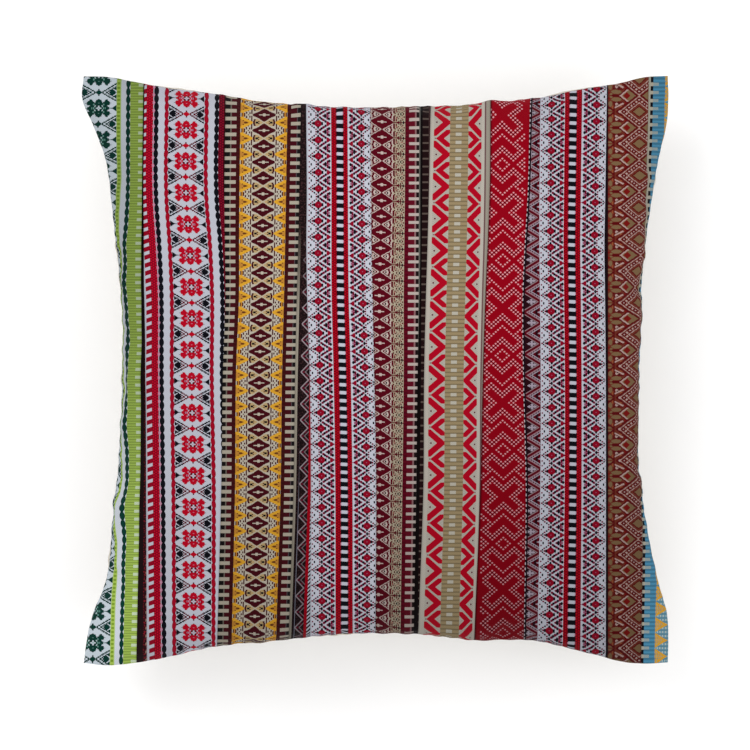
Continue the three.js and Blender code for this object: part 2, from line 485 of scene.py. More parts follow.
def speckle(scale, u, v, detail=2.0):
    """Even noise from 0 to 1 over the cloth."""
    join = Num.tree.nodes.new("ShaderNodeCombineXYZ")
    plug(join.inputs[0], u)
    plug(join.inputs[1], v)
    node = Num.tree.nodes.new("ShaderNodeTexNoise")
    node.inputs["Scale"].default_value = scale
    node.inputs["Detail"].default_value = detail
    Num.tree.links.new(join.outputs[0], node.inputs["Vector"])
    return Num(node.outputs["Fac"])


# ======================================================================
# Yarn colours, as they look in daylight
# ======================================================================
GAIN = 1.33


def yarn(r, g, b):
    def line(c):
        c /= 255
        return (c / 12.92 if c <= 0.04045 else ((c + 0.055) / 1.055) ** 2.4) / GAIN
    return (line(r), line(g), line(b))


WHITE = yarn(208, 210, 222)
PINKISH = yarn(206, 146, 172)
GREYISH = yarn(140, 140, 156)
CRIMSON = yarn(196, 8, 38)
RED = yarn(166, 4, 26)
CLARET = yarn(96, 8, 26)
MAROON = yarn(72, 14, 24)
BLACK = yarn(16, 16, 24)
CREAM = yarn(202, 193, 176)
YELLOW = yarn(232, 172, 50)
ORANGE = yarn(216, 150, 96)
BROWN = yarn(110, 62, 30)
TAN = yarn(168, 148, 112)
PINE = yarn(8, 50, 42)
LEAF = yarn(156, 190, 62)
RUST = yarn(150, 84, 62)


# ======================================================================
# Charts: one letter a stitch
# ======================================================================
def chart(rows, letters, row, column):
    """The colour of one stitch. letters maps a chart's letters to colours."""
    keys = list(letters)
    height, width = len(rows), max(len(r) for r in rows)
    rows = [r.ljust(width, r[-1]) for r in rows]
    column = node_math("MINIMUM", node_math("MAXIMUM", column, 0.0), width - 1.0)
    fac = (row + 0.5) / float(height)
    found = None
    for start in range(0, width, 18):
        part = [r[start:start + 18] for r in rows]
        wide = len(part[0])
        stops = []
        for i, line in enumerate(part):
            planes = []
            for bit in range(3):
                mask = sum(1 << (wide - 1 - c) for c, k in enumerate(line) if keys.index(k) >> bit & 1)
                planes.append((mask + 0.5) / 2 ** wide)
            stops.append((i / height, tuple(planes)))
        bits = stepped(fac, stops)
        apart = Num.tree.nodes.new("ShaderNodeSeparateColor")
        Num.tree.links.new(bits, apart.inputs[0])
        power = node_math("POWER", 2.0, column - (start - 1.0))
        index = None
        for bit in range(3 if len(keys) > 4 else 2):
            one = node_math("MODULO", floor_of(Num(apart.outputs[bit]) * power), 2.0) * float(1 << bit)
            index = one if index is None else index + one
        if found is None:
            found = index
        else:
            later = over(column, start - 0.5)
            found = found + (index - found) * later
    return stepped((found + 0.5) / 8.0, [(i / 8, letters[k]) for i, k in enumerate(keys)])


# A star and half the way to the next one: rows from its middle, columns outwards.
STAR = [
    "PWWRRPDPRRRGGGKKKKK",
    "WWDRRPRPDRRWWWWKKKK",
    "WDDRPRRRRRRWWWWWKKK",
    "WDDPWRRRRRWWWWWWWKK",
    "DRRWPRRRRWWWWWWWWWK",
    "RRRDDPRRRRRWWWWWWWW",
    "RRRRDPRRRRRRWWWWWWW",
    "RRRRRRRRRRRRWWWWWWW",
    "PRRRDRRRRRRRKWWWWWW",
    "RRRRWRRRRRRRWWWWWWW",
    "RRRRWWRRRRRWWWWWWWW",
    "RRRWWWRRRRRWWWWWWWW",
    "RRRWWWWRRRWWWWWWWWW",
    "RRWWWWWWRDWWWWWWWWW",
    "DWWWWWWWWWWWWWWWWWW",
]


def motif_grid(first, last, pitch, height, rows):
    """Middles of a chart's stitches: x across, t from the motif's own middle."""
    return np.meshgrid(np.arange(first, last, pitch) + pitch / 2, (np.arange(rows) + 0.5) * height / rows)


def lines_of(cloth):
    return ["".join(row) for row in cloth]


def star_rows():
    """The star from its chart, then the dotted lines and dark spots around it."""
    x, t = motif_grid(0.0, 18.2, 0.70, 15.725, 32)
    coarse = np.array([list(row) for row in STAR])
    cloth = coarse[np.clip(np.floor(t / 0.655 + 0.5), 0, 14).astype(int),
                   np.clip(np.floor(x / 0.98 + 0.5), 0, 18).astype(int)]
    s = 15.725 - t
    cloth[(s < 6.6) & (t > 8.2)] = "W"
    for k in range(9):                       # two lines of dots, out from the small diamond
        dot, level = 4.2 + 1.72 * k, 0.9 + 0.93 * k
        letter = "D" if dot < 9.5 else "K"
        cloth[(np.abs(x - dot) < 0.95) & (np.abs(s - level) < 0.72)] = letter
        if 7.0 < dot:
            cloth[(np.abs(x - dot - 0.5) < 0.9) & (np.abs(s - level + 2.3) < 0.68) & (s > 0.2)] = letter
    cloth[(x / 3.9 + s / 3.0) < 1] = "R"
    cloth[(x < 0.7) & (s > 2.2) & (s < 3.2)] = "D"
    cloth[(np.abs(x - 13.9) / 3.4) ** 1.5 + (s / 2.9) ** 1.5 < 1] = "K"
    cloth[(x > 15.0) & (np.abs(s - 3.6) < (x - 14.2) * 0.42)] = "K"
    cloth[(x > 12.9) & (t < (x - 12.4) * 0.52)] = "K"
    cloth[(x > 10.6) & (x < 12.9) & (t < 0.5)] = "G"
    return lines_of(cloth)


# White sash: spots around each diamond's middle, and on to half the way between
# two diamonds at t = 8. x runs towards the chevrons.
#   letter     x     t  half wide  half tall
CHEVRON_SPOTS = [
    ("R",    0.0,   0.0,   4.9,   4.3),
    ("K",    0.0,   3.9,   1.1,   1.2),
    ("K",   -4.3,   0.0,   1.0,   1.7),
    ("K",    4.3,   0.0,   1.1,   1.7),
    ("P",    0.0,   0.0,   0.6,   0.5),
    ("D",    2.0,   6.1,  1.25,  1.15),
    ("K",    3.6,   4.9,   1.2,   1.2),
    ("D",    5.6,   3.6,   1.2,  1.15),
    ("K",    7.6,   2.2,   1.1,   1.3),
    ("R",   10.2,   0.0,   1.7,   2.2),
    ("D",   12.0,   0.0,   1.0,   0.9),
    ("D",    5.7,   8.0,   1.2,   1.0),
    ("K",    7.5,   8.0,   1.2,   2.3),
    ("D",    9.7,   5.8,   1.1,   1.6),
    ("K",   11.5,   4.8,   1.2,   1.5),
    ("K",   -0.2,   8.0,   1.0,   1.8),
    ("D",   -2.1,   8.0,   0.8,   0.8),
    ("D",   -2.2,   5.5,   0.9,   0.8),
    ("K",   -4.2,   4.1,   0.9,   0.9),
    ("D",   -6.2,   2.7,   0.9,   0.8),
    ("K",   -7.9,   1.2,   0.9,   0.9),
    ("D",   -9.6,   0.2,   0.8,   0.7),
    ("D",   -6.0,   0.2,   0.7,   0.8),
    ("K",   -7.5,   7.4,   0.8,   0.7),
    ("D",   -9.5,   5.6,   0.7,   0.7),
]


def chevron_rows():
    x, t = motif_grid(-12.96, 12.97, 0.48, 8.0, 20)
    cloth = np.full(x.shape, ".")
    chain = t - (7.4 - 0.60 * x)
    cloth[(x > 0.8) & (np.abs(chain) < 1.0)] = "P"
    cloth[(x > 8.6) & (x < 12.0) & (t > 6.8)] = "P"
    for letter, sx, st, rx, rt in CHEVRON_SPOTS:
        power = 1.0 if rx > 4 else 2.2
        cloth[(np.abs(x - sx) / rx) ** power + (np.abs(t - st) / rt) ** power < 1.1] = letter
    return lines_of(cloth)


def lozenge_rows():
    """Yellow sash: a maroon lozenge, and yellow wedges halfway to the next."""
    x, t = motif_grid(0.0, 23.04, 0.64, 8.0, 16)
    s = 8.0 - t
    cloth = np.full(x.shape, "W")
    cloth[(x < 9.2) & (s < 3.4)] = "T"
    cloth[(x < 9.2) & (s < 3.4) & (np.abs(s - x * 0.62) < 0.5)] = "W"
    cloth[t < np.interp(x, [0, 4.5, 6.8, 10.5, 11.7], [7.3, 4.4, 2.8, 1.4, 0.0])] = "M"
    cloth[(x < 5.0) & (t < 0.6) | (x < 1.2) & (t < 1.5)] = "W"
    cloth[(np.abs(x - 7.3) < 1.3) & (s < 1.1)] = "K"
    cloth[(np.abs(x - 4.9) < 0.7) & (s > 0.6) & (s < 1.6)] = "M"
    cloth[(np.abs(x - 10.1 + s * 0.25) < 1.0) & (s < 3.6)] = "M"
    for at, low, high, letter in ((12.2, 0.8, 8.0, "M"), (14.0, 0.8, 3.1, "M"), (17.2, 1.2, 3.4, "M"),
                                  (19.0, 0.0, 1.8, "M"), (20.3, 0.0, 3.0, "O"), (21.9, 0.0, 2.2, "B")):
        cloth[(np.abs(x - at) < 0.75) & (t >= low) & (t < high)] = letter
    for at, low, high in ((15.6, 0.0, 0.5), (15.6, 3.9, 4.8), (18.6, 3.2, 3.9), (20.9, 2.9, 3.6)):
        cloth[(np.abs(x - at) < 0.6) & (t >= low) & (t < high)] = "M"
    wedge = 0.42 * (x - 11.2)
    cloth[(x > 11.2) & (s < wedge)] = "O"
    cloth[(x > 11.2) & (np.abs(s - wedge) < np.interp(x, [11.2, 13.0, 17.0, 20.0, 22.0, 22.9],
                                                      [0.7, 1.2, 1.4, 1.8, 1.7, 0.8]))] = "Y"
    cloth[(np.abs(x - 17.7) / 2.0) ** 2 + (s / 1.0) ** 2 < 1] = "B"
    cloth[(np.abs(x - 20.6) < 0.7) & (np.abs(s - 1.9) < 0.5)] = "B"
    return lines_of(cloth)


CLARET_STROKES = [
    # letter  x    from   to      t counted from the lozenge's middle
    ("M",  12.0,  0.9,  6.6), ("O",  14.2,  1.2,  5.0), ("M",  14.2,  1.4,  3.4), ("B",  16.7,  0.6,  2.2),
    ("B",  18.9,  0.0,  2.9), ("K",  18.9,  7.2,  8.0), ("K",  21.5,  0.0,  1.4), ("B",  21.5,  6.9,  8.0),
    ("O",  20.2,  4.0,  5.0), ("M",  13.1,  5.8,  7.4), ("M",  15.3,  4.9,  6.2), ("B",  16.5,  3.6,  4.6),
    ("M",  17.8,  5.6,  6.7), ("B",  19.5,  3.4,  4.2), ("M",  20.9,  2.2,  3.4), ("B",  16.3,  7.0,  8.0),
    ("M",  22.3,  4.6,  5.8), ("O",  18.0,  4.4,  5.2), ("B",  20.2,  6.0,  6.8), ("M",  15.4,  0.0,  0.8),
]


def claret_rows():
    """Claret sash: a claret lozenge beside a beige column with dark stitches."""
    x, t = motif_grid(0.0, 23.4, 0.65, 8.0, 16)
    s = 8.0 - t
    cloth = np.full(x.shape, "W")
    cloth[x > 11.0] = "Y"
    edge = np.interp(x, [0, 1.2, 3.9, 6.5, 9.0, 11.2], [8.0, 7.2, 5.7, 3.9, 2.6, 0.4])
    cloth[(x > 2.4) & (x < 10.4) & (t - edge > 1.0) & (t - edge < 1.9)] = "M"
    cloth[t < edge] = "M"
    cloth[(x < 4.7) & (t < 0.6) | (x < 1.2) & (t < 1.4)] = "W"
    cloth[(np.abs(x - 5.8) < 0.9) & (s < 0.8)] = "K"
    cloth[(np.abs(x - 9.4 + s * 0.3) < 1.0) & (s < 3.4)] = "M"
    for letter, at, low, high in CLARET_STROKES:
        cloth[(np.abs(x - at) < 0.72) & (t >= low) & (t < high)] = letter
    return lines_of(cloth)


# Russet sash, from a diamond's middle to half the way to the next (t = 16).
#   letter     x     t  half wide  half tall
RUSSET_SPOTS = [
    ("T",  -11.3,  3.7,  5.4,  2.1),
    ("T",  -17.3,  8.2,  2.0,  3.2),
    ("W",  -11.0,  8.6,  1.7,  1.3),
    ("K",  -10.4, 9.4,  0.8,  0.8),
    ("K",   -8.6,  7.9,  0.7,  0.7),
    ("O",   -6.4, 11.2,  1.7,  1.1),
    ("O",  -14.6, 11.4,  1.4,  1.8),
    ("W",   -8.4, 15.6,  1.2,  0.9),
    ("R",  -19.0,  2.5,  1.5,  0.9),
    ("T",  -16.6,  1.4,  1.6,  1.0),
    ("T",  -17.6, 14.6,  2.4,  1.0),
    ("K",  -19.8, 12.4,  0.9,  1.0),
]
SMALL_SQUARES = ((-3.5, 16.0), (1.5, 12.0), (6.2, 8.1), (11.0, 4.2))


def near_line(x, t, x0, t0, x1, t1, half):
    """Stitches within half a line's thickness of the line from 0 to 1."""
    dx, dt = x1 - x0, t1 - t0
    along_it = np.clip(((x - x0) * dx + (t - t0) * dt) / (dx * dx + dt * dt), 0, 1)
    return np.hypot(x - x0 - along_it * dx, t - t0 - along_it * dt) < half


def russet_rows():
    x, t = motif_grid(-21.7, 11.8, 0.62, 16.0, 27)
    cloth = np.full(x.shape, "R")
    cloth[x < -3.0] = "B"
    cloth[(x + 1.265 * t > 10.0)] = "B"
    for letter, sx, st, rx, rt in RUSSET_SPOTS:
        cloth[(np.abs(x - sx) / rx) ** 1.6 + (np.abs(t - st) / rt) ** 1.6 < 1] = letter
    cloth[near_line(x, t, -12.2, 11.6, -4.6, 7.9, 0.75)] = "W"
    for line in ((-14.4, 6.4, -4.6, 6.4, 0.5), (-13.6, 6.4, -13.6, 16.0, 0.6), (-15.0, 0.3, -8.4, 0.0, 0.9),
                 (-19.4, 11.0, -13.6, 15.5, 0.7), (9.4, 0.0, -11.0, 16.0, 0.8), (-9.0, 0.0, 0.0, 7.0, 0.75)):
        cloth[near_line(x, t, *line)] = "D"
    ring = (11.8 - x) / 15.6 + (16.0 - t) / 12.4     # a ring of squares round each tan diamond
    cloth[np.abs(ring - 0.74) < 0.036] = "W"
    cloth[(np.abs(ring - 1.26) < 0.036) & (x > -10.0)] = "W"
    for sx, st in ((-1.0, 14.0), (4.0, 10.0), (8.7, 6.1)):
        cloth[np.abs(x - sx) + np.abs(t - st) < 1.3] = "W"
    for sx, st in SMALL_SQUARES:
        cloth[(np.abs(x - sx) < 1.9) & (np.abs(t - st) < 1.7)] = "D"
        cloth[(np.abs(x - sx) < 0.7) & (np.abs(t - st) < 0.6)] = "W"
    inside = (np.abs(x) / 8.6 + t / 6.8) < 0.95
    cloth[inside] = np.where(x[inside] < 0.4, "W", "T")
    cloth[inside & (x < 0.4) & (np.abs(x) / 6.4 + t / 5.0 < 0.95)] = "T"
    cloth[(np.abs(x + 0.9) / 3.9 + t / 3.3) < 1] = "R"
    cloth[(np.abs(x - 11.8) / 7.9 + (16.0 - t) / 6.3) < 1] = "D"
    cloth[(np.abs(x - 11.8) / 6.3 + (16.0 - t) / 5.0) < 1] = "T"
    return lines_of(cloth)


# Dots on the red sash, by row: the stitches outwards from its middle line.
DOTS = [
    (3, 7, 9), (2, 8, 10), (1, 5, 9), (0, 4, 6, 10), (3, 5, 7),
    (2, 4, 6, 8), (1, 3, 7, 9), (0, 2, 8, 10), (1, 7, 9), (0, 6, 8),
    (5, 7), (4, 6), (3, 7, 9), (2, 8, 10), (1, 5, 9),
    (0, 4, 6, 10), (3, 5, 7), (2, 4, 6, 8), (1, 3, 7, 9), (0, 2, 8),
    (1, 7, 9), (0, 6, 8), (5, 7), (4, 6), (3, 5),
]


def dotted_chart():
    """Dots, and the dark stitches that four dots enclose."""
    rows = []
    for r, dots in enumerate(DOTS):
        above, below = DOTS[max(r - 1, 0)], DOTS[min(r + 1, len(DOTS) - 1)]
        rows.append("".join("O" if c in dots else
                            "D" if {abs(c - 1), c + 1} <= set(dots) and c in above and c in below else "."
                            for c in range(12)))
    return rows


# ======================================================================
# Pieces that many sashes share
# ======================================================================
def lanes(u, first, *rest):
    """Stripes side by side: each (from, colour) starts at its own place."""
    colour = first
    for start, other in rest:
        colour = mixed(colour, other, over(u, start))
    return colour


def along(v, *points):
    """Counts repeats down the sash, through three (height, count) points."""
    y, k = np.array(points, float).T
    c2, c1, c0 = np.polyfit(y, k, 2)
    return (v * float(c2) + float(c1)) * v + float(c0)


def cord(u, turns, middle, wide, neck, colour, behind, lean=0.0, glow=0.5):
    """A twisted cord: beads that narrow to a neck where the twist turns, with painted light and shade: each bead
    lighter along its middle, darker at its sides and at the necks.
    """
    x = u - middle
    f = folded(turns + x * lean, 0.5) * 2.0
    half = most(wide / 2 - f * f * ((wide - neck) / 2), 0.01)
    across = size_of(x) / half
    # painted light and shade on each bead
    shade = 1.0 + glow * 0.35 - across * across * 0.45 * glow - soft(f, 0.55, 1.0) * 0.4 * glow
    return mixed(behind, tinted(colour, shade), under(across, 1.0))


def bars(v_turns, tall, on, off):
    """Blocks of a colour on another; tall is the part of a repeat they take."""
    return mixed(off, on, under(size_of(part_of(v_turns + 0.5) - 0.5), tall / 2))


def ribbed(v, pitch, colour, depth=0.18):
    # painted light and shade across the ribs: lighter crests, darker grooves
    return tinted(colour, 1.0 - depth * 0.5 + wave(v / pitch) * (depth * 0.5))


def beaded(u, v, colour, wide=2.1, tall=2.62):
    """Close columns of beads, each half a bead lower than the one before, painted lighter on each bead and darker in
    the gaps between columns.
    """
    column = u / wide
    bead = wave(v / tall + floor_of(column) * 0.5)
    gap = size_of(part_of(column) - 0.5)
    return tinted(colour, 1.06 + bead * 0.46 - soft(gap, 0.15, 0.5) * 0.56)


def star_stitches(u, v, first, lean, letters):
    turns = (v - u * lean - first) / 31.45
    row = least(floor_of(folded(turns, 0.5) * 64.0), 31.0)
    return chart(star_rows(), letters, row, floor_of(size_of(u) / 0.70))


def chevron_stitches(x, turns):
    """x runs from the diamonds' middle line towards the chevrons."""
    row = least(floor_of(folded(turns, 0.5) * 40.0), 19.0)
    column = floor_of((x + 12.96) / 0.48)
    return chart(chevron_rows(), {".": WHITE, "R": yarn(150, 10, 38), "K": BLACK, "D": yarn(118, 8, 46),
                                  "P": yarn(160, 96, 124), "G": GREYISH}, row, column)


def lozenge_stitches(rows, u, turns, letters, pitch):
    row = least(floor_of(folded(turns, 0.5) * 32.0), 15.0)
    return chart(rows, letters, row, floor_of(size_of(u) / pitch))


# ======================================================================
# The sashes
# ======================================================================
def green_sash(u, v):
    stars = star_stitches(u, v, 108.2, 0.0, {"W": yarn(190, 200, 208), "R": PINE, "K": yarn(6, 48, 42),
                                             "D": yarn(6, 44, 38), "P": yarn(96, 140, 130), "G": yarn(110, 130, 130)})
    # painted light: the star lanes lighter towards the top, where the sash's broad painted shade is darkest
    stars = tinted(stars, 1.36 - soft(v, 130.0, 340.0) * 0.36)
    seed = bars(v / 4.0, 0.5, yarn(118, 148, 44), yarn(160, 188, 80))
    seed = mixed(seed, yarn(168, 192, 110), over(size_of(u - 19.9), 1.5))
    twist = (v - 155.9) / 8.0
    ribs = ribbed(v, 2.62, yarn(158, 186, 84), 0.42)
    teeth = bars((v - 156.6) / 7.88, 0.38, yarn(186, 202, 170), ribs)
    column = lanes(u, stars, (17.7, seed), (22.4, yarn(200, 206, 214)), (31.5, ribs), (39.6, teeth))
    return cord(u, twist, 29.4, 4.4, 1.9, PINE, column, glow=0.6)


def shade_strip(u, v):
    # a painted shadow in the gap between the green and star sashes: dark, with flecks of the cloth below
    n = speckle(0.55, u, v)
    cloth = mixed(yarn(34, 10, 14), yarn(104, 20, 30), soft(n, 0.5, 0.62))
    flecks = bars(v / 7.9 + u * 0.12, 0.3, yarn(120, 96, 82), cloth)
    return lanes(u, yarn(24, 12, 14), (1.2, cloth), (3.6, flecks))


def star_sash(u, v):
    turns = (v - 161.6) / 7.8625
    stars = star_stitches(u, v, 98.4, 0.042, {"W": WHITE, "R": CRIMSON, "K": BLACK, "D": CLARET,
                                              "P": PINKISH, "G": GREYISH})
    check = bars((v + u * 0.35 + 14.7 - 158.4) / 7.8625, 0.42, WHITE, yarn(156, 8, 36))
    check = mixed(check, WHITE, over(size_of(u + 42.9), 3.0))
    red = beaded(u, v, yarn(182, 8, 40))
    later = beaded(u, v, yarn(124, 10, 36))
    column = lanes(u, WHITE, (-45.4, check), (-40.1, red), (-33.2, WHITE), (-17.6, stars),
                   (17.7, WHITE), (32.4, later), (37.9, yarn(60, 10, 18)))
    scallop = cord(u, turns + 0.5, -32.6, 2.6, -3.0, PINKISH, column, glow=0.0)
    column = cord(u, turns, -30.1, 4.9, 2.3, BLACK, scallop, glow=0.3)
    column = cord(u, turns, -19.8, 4.4, 2.5, yarn(158, 8, 36), column, lean=0.05, glow=0.7)
    column = cord(u, turns + 0.4, 20.1, 4.5, 2.6, yarn(158, 8, 36), column, lean=-0.05, glow=0.7)
    return cord(u, turns + 0.1, 30.4, 4.9, 2.0, BLACK, column, glow=0.3)


def yellow_sash(u, v):
    turns = along(v, (114.5, 0), (367.3, 16), (616.2, 32))
    middle = lozenge_stitches(lozenge_rows(), u, turns, {
        "W": CREAM, "M": MAROON, "Y": YELLOW, "O": yarn(200, 138, 56), "B": BROWN, "K": BLACK,
        "T": yarn(196, 168, 120)}, 0.64)
    tooth_turns = (v - 158.2) / 7.94
    block = lanes(u, yarn(24, 20, 20), (-33.1, yarn(116, 108, 98)), (-31.9, MAROON))
    left = bars(tooth_turns, 0.45, yarn(184, 175, 158), block)
    right = bars((v - 155.3) / 7.9, 0.43, yarn(184, 175, 158), lanes(u, MAROON, (32.2, yarn(90, 80, 84)), (33.0, yarn(28, 24, 26))))
    edge = ribbed(v, 3.97, yarn(70, 22, 24), 0.3)
    return lanes(u, left, (-27.1, edge), (-23.3, middle), (22.7, edge), (26.4, right))


def tucked_sash(u, v):
    n = speckle(0.5, u * 1.2, v)
    # dark: the tucked sash's speckled cloth, darkened as painted shadow where it lies under its neighbours
    dark = mixed(yarn(24, 14, 16), yarn(64, 40, 42), soft(n, 0.48, 0.7))
    zig = folded((v - 372.0) / 16.0, 0.5) * 14.0
    along_line = u - 5.6 - zig * 1.1
    line = most(under(size_of(along_line), 0.8), under(size_of(along_line - 4.4), 0.6) * 0.6)
    maroon = under(size_of(along_line - 2.4), 1.0) * bars_mask(zig / 3.1, 0.55)
    lower = soft(v, 215.0, 330.0)
    figured = mixed(mixed(dark, yarn(96, 12, 36), maroon * lower), yarn(150, 134, 140), line * lower)
    dashes = bars((v + u) / 4.0, 0.5, WHITE, BLACK)
    later = lanes(u, mixed(dark, yarn(150, 142, 128), lower), (2.4, dark), (4.9, mixed(dark, GREYISH, soft(v, 430.0, 560.0))),
                  (5.4, figured), (14.4, RED), (17.3, dashes))
    return later


def dash_middle(u, v, first, pitch):
    """The black and white dashes between two red stripes."""
    white = bars((v - u * 0.06 - first) / pitch, 0.42, WHITE, BLACK)
    white = mixed(white, mixed(BLACK, PINKISH, under(size_of(part_of((v - first) / pitch + 0.5) - 0.5), 0.17)),
                  over(size_of(u), 2.9))
    red = beaded(u + 0.4, v, RED)
    return lanes(u, red, (-3.8, white), (3.7, red))


def dash_sash(u, v):
    left = chevron_stitches(u + 22.6, along(v, (156.2, 0), (365.0, 13), (585.4, 27)))
    right = chevron_stitches(22.5 - u, along(v, (159.8, 0), (367.3, 13), (573.5, 26)))
    return lanes(u, left, (-9.0, dash_middle(u, v, 153.9, 7.96)), (8.2, right))


def claret_sash(u, v):
    turns = along(v - u * 0.06, (168.8, 0), (374.6, 13), (594.6, 27))
    beige = yarn(188, 176, 152)
    middle = lozenge_stitches(claret_rows(), u, turns, {
        "W": yarn(214, 194, 186), "M": CLARET, "Y": beige, "O": yarn(168, 96, 88),
        "B": yarn(92, 40, 40), "K": BLACK}, 0.65)
    block = lanes(u, yarn(104, 14, 34), (33.0, yarn(150, 110, 112)), (34.6, yarn(30, 18, 20)))
    teeth = bars((v - 159.4) / 7.88, 0.36, yarn(200, 186, 178), block)
    edge = ribbed(v, 3.94, yarn(104, 10, 32), 0.35)
    return lanes(u, middle, (23.2, edge), (27.2, teeth), (37.3, yarn(112, 110, 104)))


def hollow_strip(u, v):
    # a painted shadow in the gap between the claret and leaf sashes, with faint ribs of the cloth below
    ribs = bars((v - 158.7) / 7.85, 0.22, yarn(84, 72, 66), yarn(28, 12, 14))
    return lanes(u, yarn(14, 8, 9), (2.6, ribs), (8.6, yarn(60, 40, 40)))


def leaf_column(x, t, red, cream):
    """x: 0 to 16.6 from the sash's rim inwards; t counts repeats of 32.1 px."""
    far = folded(t, 0.5) * 32.1             # from the big arrowhead
    near = folded(t + 0.5, 0.5) * 32.1      # from the small one
    big = under(size_of(x - 13.4 + far * 1.15), 4.6) * under(far, 13.6)
    tail = under(far, 2.0) * over(x, 10.0)
    small = under(size_of(x - 6.3 - near * 1.22), 4.1) * under(near, 8.6)
    leaf = most(most(big, tail), small)
    hatch = tinted(cream, 0.9 + wave((x * 0.5 + far) / 1.9) * 0.1)
    dot = most(under((x - 2.8) * (x - 2.8) + far * far, 0.8), under((x - 1.6) * (x - 1.6) + near * near, 0.7) * 0.6)
    return mixed(mixed(hatch, yarn(104, 40, 60), dot), red, leaf)


def leaf_sash(u, v):
    turns = along(v, (122.3, 0), (379.0, 8), (603.0, 15))
    cream = yarn(208, 200, 188)
    red = tinted(CRIMSON, 0.9 + speckle(0.8, u, v) * 0.2)
    left = leaf_column(u + 25.2, turns, red, cream)
    right = leaf_column((23.5 - u) * 1.2, turns - 0.044, red, cream)
    rib = folded((v - 134.2) / 4.07, 0.5) * 2.0
    # painted shade in the grooves between the tan ribs
    ribs = tinted(TAN, 1.1 - soft(rib, 0.4, 1.0) * 0.5)
    white = under(size_of(u), 3.0) * under(size_of(part_of((v - 134.2) / 8.14 + 0.5) - 0.5), 0.2)
    ribs = mixed(ribs, yarn(208, 202, 186), white)
    return lanes(u, cream, (-25.2, left), (-8.8, ribs), (9.9, right), (23.4, cream), (26.5, yarn(122, 92, 92)),
                 (28.0, yarn(172, 164, 150)))


def dotted_sash(u, v):
    turns = along(v, (164.6, 0), (355.6, 2), (590.0, 4.5))
    fold = folded(turns, 0.5) * 48.0 + 0.5
    cells = size_of(u) / 2.2 + 0.5
    red, pale, dark = (1.0, 0.0, 0.0), (0.0, 1.0, 0.0), (0.0, 0.0, 1.0)
    kind = chart(dotted_chart(), {".": red, "O": pale, "D": dark}, floor_of(fold), floor_of(cells))
    apart = Num.tree.nodes.new("ShaderNodeSeparateColor")
    Num.tree.links.new(kind, apart.inputs[0])
    du, dv = part_of(cells) - 0.5, part_of(fold) - 0.5
    round_ = 1.0 - soft(du * du * 4.0 + dv * dv * 4.4, 0.45, 0.95)
    ground = tinted(yarn(166, 2, 26), 0.88 + speckle(0.7, u, v) * 0.24)
    cloth = mixed(ground, yarn(80, 0, 22), Num(apart.outputs[2]) * round_ * 0.9)
    cloth = mixed(cloth, yarn(250, 178, 186), Num(apart.outputs[1]) * round_)
    # a painted shadow along the left edge, where the leaf sash lies over it
    return mixed(cloth, yarn(56, 4, 14), (1.0 - soft(Num.rims[0], 0.2, 3.0)) * 0.7)


def bars_mask(turns, tall):
    return under(size_of(part_of(turns + 0.5) - 0.5), tall / 2)


def zigzag(u, v):
    """Arrowheads that point to the left, with a pale stone between each two."""
    w = -32.2 - u                             # from the fold towards the left
    t = folded(along(v, (164.2, 0), (228.5, 3), (354.4, 9), (458.4, 14), (583.7, 20)), 0.5) * 21.0
    q = w + t * 1.65
    pale, maroon, dark = yarn(176, 162, 176), yarn(96, 6, 24), yarn(44, 10, 20)
    dots = mixed(yarn(150, 132, 142), yarn(56, 30, 44), bars_mask(w / 2.3, 0.5))
    inner = mixed(mixed(maroon, dark, bars_mask(w / 4.6 + 0.2, 0.5)), pale, under(w + t * 2.3, 3.0))
    stone = under(size_of(w - 8.7) / 5.0 + size_of(t - 10.5) / 3.1, 1.0)
    spots = bars_mask((w - 7.1) / 3.2, 0.42) * bars_mask((t - 9.1) / 3.0, 0.34)
    outer = mixed(dark, mixed(pale, yarn(60, 44, 56), spots), stone)
    return lanes(q, inner, (8.4, pale), (9.9, dots), (12.2, yarn(168, 128, 138)), (14.2, maroon),
                 (18.6, yarn(160, 132, 138)), (20.2, outer))


def double_sash(u, v):
    left = chevron_stitches(u + 21.1, along(v, (166.8, 0), (375.4, 13), (598.8, 27)))
    right = chevron_stitches(23.0 - u, along(v, (153.8, 0), (364.2, 13), (588.5, 27)))
    rim = mixed(WHITE, yarn(22, 16, 22), over(u, 32.8))
    edge = Num.rims[0]
    dots = under(edge, 0.9) * bars_mask((v - 162.3) / 5.28, 0.5)
    line = mixed(yarn(26, 16, 24), yarn(230, 215, 222), dots)
    body = lanes(u, zigzag(u, v), (-32.2, WHITE), (-31.4, left), (-8.1, dash_middle(u, v, 155.6, 8.12)),
                 (8.7, right), (32.3, rim))
    return mixed(line, body, over(edge, 2.4))


def russet_sash(u, v):
    turns = along(v, (127.7, 0), (381.9, 8), (601.5, 15))
    x = 11.5 - size_of(u - 10.6)
    row = least(floor_of(folded(turns, 0.5) * 54.0), 26.0)
    cloth = chart(russet_rows(), {"R": yarn(122, 20, 18), "W": yarn(186, 158, 152), "K": yarn(36, 14, 20),
                                  "T": yarn(126, 100, 70), "O": yarn(150, 80, 50), "D": yarn(92, 10, 16),
                                  "B": yarn(112, 48, 34)}, row, floor_of((x + 21.7) / 0.62))
    return lanes(u, yarn(30, 12, 18), (-20.6, cloth), (20.2, yarn(60, 20, 24)))


